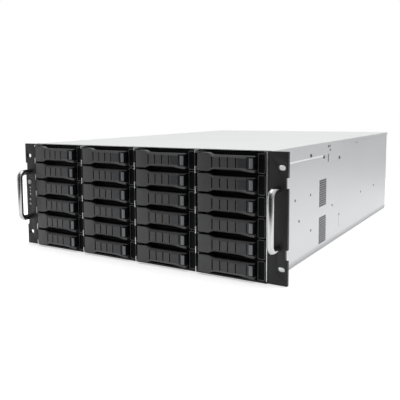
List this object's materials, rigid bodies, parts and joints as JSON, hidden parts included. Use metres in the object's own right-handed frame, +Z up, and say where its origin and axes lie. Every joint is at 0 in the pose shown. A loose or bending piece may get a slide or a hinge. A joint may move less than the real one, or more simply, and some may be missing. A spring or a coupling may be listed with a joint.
{
  "type": "rack server chassis",
  "caption": "Rack storage chassis: folded steel tub with slide-out drive carriers, swing levers, fans, power modules, rack ears, handles and a lift-off rear cover.",
  "frame": {"origin": "middle of the footprint, on the surface it stands on", "axes": "+X to the right of someone facing the front, +Y from the front to the rear, +Z up"},
  "size_m": [0.4826, 0.7152, 0.176],
  "materials": {
    "zinc_steel": "zinc-plated sheet, satin",
    "black_ear": "black powder coat",
    "polished_handle": "polished",
    "carrier_black": "black tray, moulded bezel",
    "carrier_plastic": "fine moulded texture",
    "latch_plastic": "satin",
    "black_plastic": "satin",
    "light_pipe": "clear",
    "circuit_board": "solder mask",
    "brass": "turned",
    "screw_metal": "nickel plated",
    "psu_metal": "zinc-plated sheet"
  },
  "bodies": {
    "chassis": {"chassis_tub": "zinc_steel", "front_top_cover": "zinc_steel", "rear_panel": "zinc_steel", "drive_cage": "zinc_steel", "left_ear": "black_ear", "right_ear": "black_ear", "front_handles": "polished_handle", "status_light_pipes": "light_pipe", "control_board": "circuit_board", "backplane": "circuit_board", "backplane_connectors": "black_plastic", "fan_wall": "zinc_steel", "fan_frames": "black_plastic", "psu_cage": "zinc_steel", "slot_covers": "zinc_steel", "board_standoffs": "brass", "cover_thumbscrews": "screw_metal"},
    "rear_cover": {"rear_top_cover": "zinc_steel"},
    "carrier_r1_c1": {"carrier_r1_c1": "carrier_black"},
    "lever_r1_c1": {"lever_r1_c1": "carrier_plastic"},
    "latch_button_r1_c1": {"latch_button_r1_c1": "latch_plastic"},
    "carrier_r1_c2": {"carrier_r1_c2": "carrier_black"},
    "lever_r1_c2": {"lever_r1_c2": "carrier_plastic"},
    "latch_button_r1_c2": {"latch_button_r1_c2": "latch_plastic"},
    "carrier_r1_c3": {"carrier_r1_c3": "carrier_black"},
    "lever_r1_c3": {"lever_r1_c3": "carrier_plastic"},
    "latch_button_r1_c3": {"latch_button_r1_c3": "latch_plastic"},
    "carrier_r1_c4": {"carrier_r1_c4": "carrier_black"},
    "lever_r1_c4": {"lever_r1_c4": "carrier_plastic"},
    "latch_button_r1_c4": {"latch_button_r1_c4": "latch_plastic"},
    "carrier_r2_c1": {"carrier_r2_c1": "carrier_black"},
    "carrier_r2_c2": {"carrier_r2_c2": "carrier_black"},
    "carrier_r2_c3": {"carrier_r2_c3": "carrier_black"},
    "carrier_r2_c4": {"carrier_r2_c4": "carrier_black"},
    "carrier_r3_c1": {"carrier_r3_c1": "carrier_black"},
    "carrier_r3_c2": {"carrier_r3_c2": "carrier_black"},
    "carrier_r3_c3": {"carrier_r3_c3": "carrier_black"},
    "carrier_r3_c4": {"carrier_r3_c4": "carrier_black"},
    "carrier_r4_c1": {"carrier_r4_c1": "carrier_black"},
    "carrier_r4_c2": {"carrier_r4_c2": "carrier_black"},
    "carrier_r4_c3": {"carrier_r4_c3": "carrier_black"},
    "carrier_r4_c4": {"carrier_r4_c4": "carrier_black"},
    "carrier_r5_c1": {"carrier_r5_c1": "carrier_black"},
    "carrier_r5_c2": {"carrier_r5_c2": "carrier_black"},
    "carrier_r5_c3": {"carrier_r5_c3": "carrier_black"},
    "carrier_r5_c4": {"carrier_r5_c4": "carrier_black"},
    "carrier_r6_c1": {"carrier_r6_c1": "carrier_black"},
    "carrier_r6_c2": {"carrier_r6_c2": "carrier_black"},
    "carrier_r6_c3": {"carrier_r6_c3": "carrier_black"},
    "carrier_r6_c4": {"carrier_r6_c4": "carrier_black"},
    "fan_rotor_1": {"fan_rotor_1": "black_plastic"},
    "fan_rotor_2": {"fan_rotor_2": "black_plastic"},
    "fan_rotor_3": {"fan_rotor_3": "black_plastic"},
    "psu_module_1": {"psu_module_1": "psu_metal"},
    "psu_module_2": {"psu_module_2": "psu_metal"},
    "power_button": {"power_button": "black_plastic"},
    "reset_button": {"reset_button": "black_plastic"},
    "mute_button": {"mute_button": "black_plastic"}
  },
  "joints": [
    {"name": "rear_cover_lift", "type": "slide", "parent": "chassis", "child": "rear_cover", "axis": [0, 0, 1], "range_m": [0, 0.2]},
    {"name": "carrier_r1_c1_slide", "type": "slide", "parent": "chassis", "child": "carrier_r1_c1", "axis": [0, -1, 0], "range_m": [0, 0.2]},
    {"name": "lever_r1_c1_swing", "type": "hinge", "parent": "carrier_r1_c1", "child": "lever_r1_c1", "pos_m": [-0.2023, -0.33342, 0.1594], "axis": [0, 0, -1], "range_deg": [0, 65]},
    {"name": "latch_button_r1_c1_slide", "type": "slide", "parent": "lever_r1_c1", "child": "latch_button_r1_c1", "axis": [-1, 0, 0], "range_m": [0, 0.003], "stiffness_N_per_m": 300},
    {"name": "carrier_r1_c2_slide", "type": "slide", "parent": "chassis", "child": "carrier_r1_c2", "axis": [0, -1, 0], "range_m": [0, 0.2]},
    {"name": "lever_r1_c2_swing", "type": "hinge", "parent": "carrier_r1_c2", "child": "lever_r1_c2", "pos_m": [-0.09595, -0.33342, 0.1594], "axis": [0, 0, -1], "range_deg": [0, 65]},
    {"name": "latch_button_r1_c2_slide", "type": "slide", "parent": "lever_r1_c2", "child": "latch_button_r1_c2", "axis": [-1, 0, 0], "range_m": [0, 0.003], "stiffness_N_per_m": 300},
    {"name": "carrier_r1_c3_slide", "type": "slide", "parent": "chassis", "child": "carrier_r1_c3", "axis": [0, -1, 0], "range_m": [0, 0.2]},
    {"name": "lever_r1_c3_swing", "type": "hinge", "parent": "carrier_r1_c3", "child": "lever_r1_c3", "pos_m": [0.0104, -0.33342, 0.1594], "axis": [0, 0, -1], "range_deg": [0, 65]},
    {"name": "latch_button_r1_c3_slide", "type": "slide", "parent": "lever_r1_c3", "child": "latch_button_r1_c3", "axis": [-1, 0, 0], "range_m": [0, 0.003], "stiffness_N_per_m": 300},
    {"name": "carrier_r1_c4_slide", "type": "slide", "parent": "chassis", "child": "carrier_r1_c4", "axis": [0, -1, 0], "range_m": [0, 0.2]},
    {"name": "lever_r1_c4_swing", "type": "hinge", "parent": "carrier_r1_c4", "child": "lever_r1_c4", "pos_m": [0.11675, -0.33342, 0.1594], "axis": [0, 0, -1], "range_deg": [0, 65]},
    {"name": "latch_button_r1_c4_slide", "type": "slide", "parent": "lever_r1_c4", "child": "latch_button_r1_c4", "axis": [-1, 0, 0], "range_m": [0, 0.003], "stiffness_N_per_m": 300},
    {"name": "carrier_r2_c1_slide", "type": "slide", "parent": "chassis", "child": "carrier_r2_c1", "axis": [0, -1, 0], "range_m": [0, 0.2]},
    {"name": "carrier_r2_c2_slide", "type": "slide", "parent": "chassis", "child": "carrier_r2_c2", "axis": [0, -1, 0], "range_m": [0, 0.2]},
    {"name": "carrier_r2_c3_slide", "type": "slide", "parent": "chassis", "child": "carrier_r2_c3", "axis": [0, -1, 0], "range_m": [0, 0.2]},
    {"name": "carrier_r2_c4_slide", "type": "slide", "parent": "chassis", "child": "carrier_r2_c4", "axis": [0, -1, 0], "range_m": [0, 0.2]},
    {"name": "carrier_r3_c1_slide", "type": "slide", "parent": "chassis", "child": "carrier_r3_c1", "axis": [0, -1, 0], "range_m": [0, 0.2]},
    {"name": "carrier_r3_c2_slide", "type": "slide", "parent": "chassis", "child": "carrier_r3_c2", "axis": [0, -1, 0], "range_m": [0, 0.2]},
    {"name": "carrier_r3_c3_slide", "type": "slide", "parent": "chassis", "child": "carrier_r3_c3", "axis": [0, -1, 0], "range_m": [0, 0.2]},
    {"name": "carrier_r3_c4_slide", "type": "slide", "parent": "chassis", "child": "carrier_r3_c4", "axis": [0, -1, 0], "range_m": [0, 0.2]},
    {"name": "carrier_r4_c1_slide", "type": "slide", "parent": "chassis", "child": "carrier_r4_c1", "axis": [0, -1, 0], "range_m": [0, 0.2]},
    {"name": "carrier_r4_c2_slide", "type": "slide", "parent": "chassis", "child": "carrier_r4_c2", "axis": [0, -1, 0], "range_m": [0, 0.2]},
    {"name": "carrier_r4_c3_slide", "type": "slide", "parent": "chassis", "child": "carrier_r4_c3", "axis": [0, -1, 0], "range_m": [0, 0.2]},
    {"name": "carrier_r4_c4_slide", "type": "slide", "parent": "chassis", "child": "carrier_r4_c4", "axis": [0, -1, 0], "range_m": [0, 0.2]},
    {"name": "carrier_r5_c1_slide", "type": "slide", "parent": "chassis", "child": "carrier_r5_c1", "axis": [0, -1, 0], "range_m": [0, 0.2]},
    {"name": "carrier_r5_c2_slide", "type": "slide", "parent": "chassis", "child": "carrier_r5_c2", "axis": [0, -1, 0], "range_m": [0, 0.2]},
    {"name": "carrier_r5_c3_slide", "type": "slide", "parent": "chassis", "child": "carrier_r5_c3", "axis": [0, -1, 0], "range_m": [0, 0.2]},
    {"name": "carrier_r5_c4_slide", "type": "slide", "parent": "chassis", "child": "carrier_r5_c4", "axis": [0, -1, 0], "range_m": [0, 0.2]},
    {"name": "carrier_r6_c1_slide", "type": "slide", "parent": "chassis", "child": "carrier_r6_c1", "axis": [0, -1, 0], "range_m": [0, 0.2]},
    {"name": "carrier_r6_c2_slide", "type": "slide", "parent": "chassis", "child": "carrier_r6_c2", "axis": [0, -1, 0], "range_m": [0, 0.2]},
    {"name": "carrier_r6_c3_slide", "type": "slide", "parent": "chassis", "child": "carrier_r6_c3", "axis": [0, -1, 0], "range_m": [0, 0.2]},
    {"name": "carrier_r6_c4_slide", "type": "slide", "parent": "chassis", "child": "carrier_r6_c4", "axis": [0, -1, 0], "range_m": [0, 0.2]},
    {"name": "fan_rotor_1_spin", "type": "hinge", "parent": "chassis", "child": "fan_rotor_1", "pos_m": [-0.132, -0.07322, 0.0672], "axis": [0, 1, 0], "continuous": true},
    {"name": "fan_rotor_2_spin", "type": "hinge", "parent": "chassis", "child": "fan_rotor_2", "pos_m": [0, -0.07322, 0.0672], "axis": [0, 1, 0], "continuous": true},
    {"name": "fan_rotor_3_spin", "type": "hinge", "parent": "chassis", "child": "fan_rotor_3", "pos_m": [0.132, -0.07322, 0.0672], "axis": [0, 1, 0], "continuous": true},
    {"name": "psu_module_1_slide", "type": "slide", "parent": "chassis", "child": "psu_module_1", "axis": [0, 1, 0], "range_m": [0, 0.2]},
    {"name": "psu_module_2_slide", "type": "slide", "parent": "chassis", "child": "psu_module_2", "axis": [0, 1, 0], "range_m": [0, 0.2]},
    {"name": "power_button_press", "type": "slide", "parent": "chassis", "child": "power_button", "axis": [0, 1, 0], "range_m": [0, 0.0008], "stiffness_N_per_m": 500},
    {"name": "reset_button_press", "type": "slide", "parent": "chassis", "child": "reset_button", "axis": [0, 1, 0], "range_m": [0, 0.0008], "stiffness_N_per_m": 500},
    {"name": "mute_button_press", "type": "slide", "parent": "chassis", "child": "mute_button", "axis": [0, 1, 0], "range_m": [0, 0.0008], "stiffness_N_per_m": 500}
  ]
}
